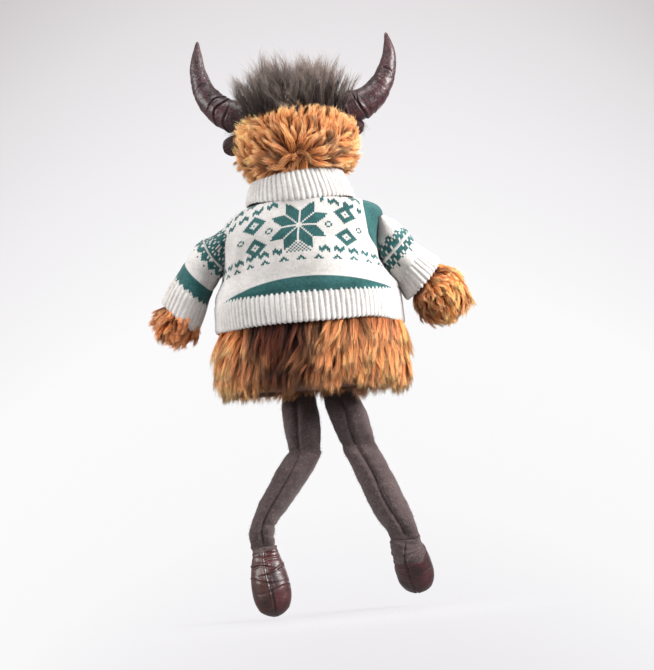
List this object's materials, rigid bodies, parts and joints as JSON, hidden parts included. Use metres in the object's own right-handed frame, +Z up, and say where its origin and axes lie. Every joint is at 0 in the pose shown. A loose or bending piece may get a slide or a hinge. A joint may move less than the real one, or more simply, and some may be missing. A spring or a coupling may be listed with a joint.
{
  "type": "shelf sitter animal figure",
  "caption": "Stuffed highland cow that sits on a shelf edge in a knitted jumper, with fur body and arms, curved horns and long felt legs that dangle.",
  "frame": {"origin": "middle of the flat base panel that the figure sits on", "axes": "+Z up, the figure looks along -Y, its own left side is +X; the legs hang below the seat"},
  "size_m": [0.3187, 0.1876, 0.5979],
  "materials": {
    "ginger_fur": "matte",
    "taupe_fur": "matte",
    "cream_knit": "matte",
    "felt": "matte",
    "leatherette": "gloss",
    "muzzle_plush": "matte",
    "fibre_fill": "matte",
    "pellet_bag": "matte",
    "eye_black": "gloss",
    "washer_plastic": "satin"
  },
  "bodies": {
    "torso": {"body_cover": "ginger_fur", "base_panel": "ginger_fur", "weight_bag": "pellet_bag", "body_filling": "fibre_fill", "jumper_body": "cream_knit", "jumper_hem": "cream_knit", "jumper_collar": "cream_knit"},
    "head": {"head_cover": "ginger_fur", "head_filling": "fibre_fill", "forelock": "taupe_fur", "muzzle": "muzzle_plush", "nostril_left": "leatherette", "nostril_right": "leatherette", "eye_left": "eye_black", "eye_right": "eye_black", "eye_washer_left": "washer_plastic", "eye_washer_right": "washer_plastic", "horn_left": "leatherette", "horn_right": "leatherette", "horn_filling_left": "fibre_fill", "horn_filling_right": "fibre_fill", "ear_left": "leatherette", "ear_right": "leatherette"},
    "arm_left": {"arm_cover_left": "ginger_fur", "arm_filling_left": "fibre_fill", "sleeve_left": "cream_knit", "cuff_left": "cream_knit"},
    "upper_leg_left": {"thigh_left": "felt", "thigh_filling_left": "fibre_fill"},
    "lower_leg_left": {"shin_left": "felt", "shin_filling_left": "fibre_fill"},
    "foot_left": {"hoof_left": "leatherette", "hoof_filling_left": "fibre_fill"},
    "arm_right": {"arm_cover_right": "ginger_fur", "arm_filling_right": "fibre_fill", "sleeve_right": "cream_knit", "cuff_right": "cream_knit"},
    "upper_leg_right": {"thigh_right": "felt", "thigh_filling_right": "fibre_fill"},
    "lower_leg_right": {"shin_right": "felt", "shin_filling_right": "fibre_fill"},
    "foot_right": {"hoof_right": "leatherette", "hoof_filling_right": "fibre_fill"}
  },
  "joints": [
    {"name": "head_turn", "type": "hinge", "parent": "torso", "child": "head", "pos_m": [0, 0, 0.199], "axis": [0, 0, 1], "range_deg": [-45, 45], "stiffness_Nm_per_rad": 0.05},
    {"name": "shoulder_left", "type": "hinge", "parent": "torso", "child": "arm_left", "pos_m": [0.087, 0, 0.152], "axis": [-1, 0, 0], "range_deg": [-40, 100]},
    {"name": "shoulder_right", "type": "hinge", "parent": "torso", "child": "arm_right", "pos_m": [-0.087, 0, 0.152], "axis": [-1, 0, 0], "range_deg": [-40, 100]},
    {"name": "hip_left", "type": "hinge", "parent": "torso", "child": "upper_leg_left", "pos_m": [0.0215, -0.065, -0.0015], "axis": [-1, 0, 0], "range_deg": [-8, 90]},
    {"name": "knee_left", "type": "hinge", "parent": "upper_leg_left", "child": "lower_leg_left", "pos_m": [0.0195, -0.065, -0.0635], "axis": [1, 0, 0], "range_deg": [-15, 85]},
    {"name": "hip_right", "type": "hinge", "parent": "torso", "child": "upper_leg_right", "pos_m": [-0.0215, -0.065, -0.0015], "axis": [-1, 0, 0], "range_deg": [-8, 90]},
    {"name": "knee_right", "type": "hinge", "parent": "upper_leg_right", "child": "lower_leg_right", "pos_m": [-0.037, -0.065, -0.0615], "axis": [1, 0, 0], "range_deg": [-15, 85]},
    {"name": "ankle_left", "type": "hinge", "parent": "lower_leg_left", "child": "foot_left", "pos_m": [0.071, -0.065, -0.1585], "axis": [-1, 0, 0], "range_deg": [-10, 45], "stiffness_Nm_per_rad": 0.15},
    {"name": "ankle_right", "type": "hinge", "parent": "lower_leg_right", "child": "foot_right", "pos_m": [-0.078, -0.065, -0.161], "axis": [-1, 0, 0], "range_deg": [-35, 15], "stiffness_Nm_per_rad": 0.15}
  ]
}
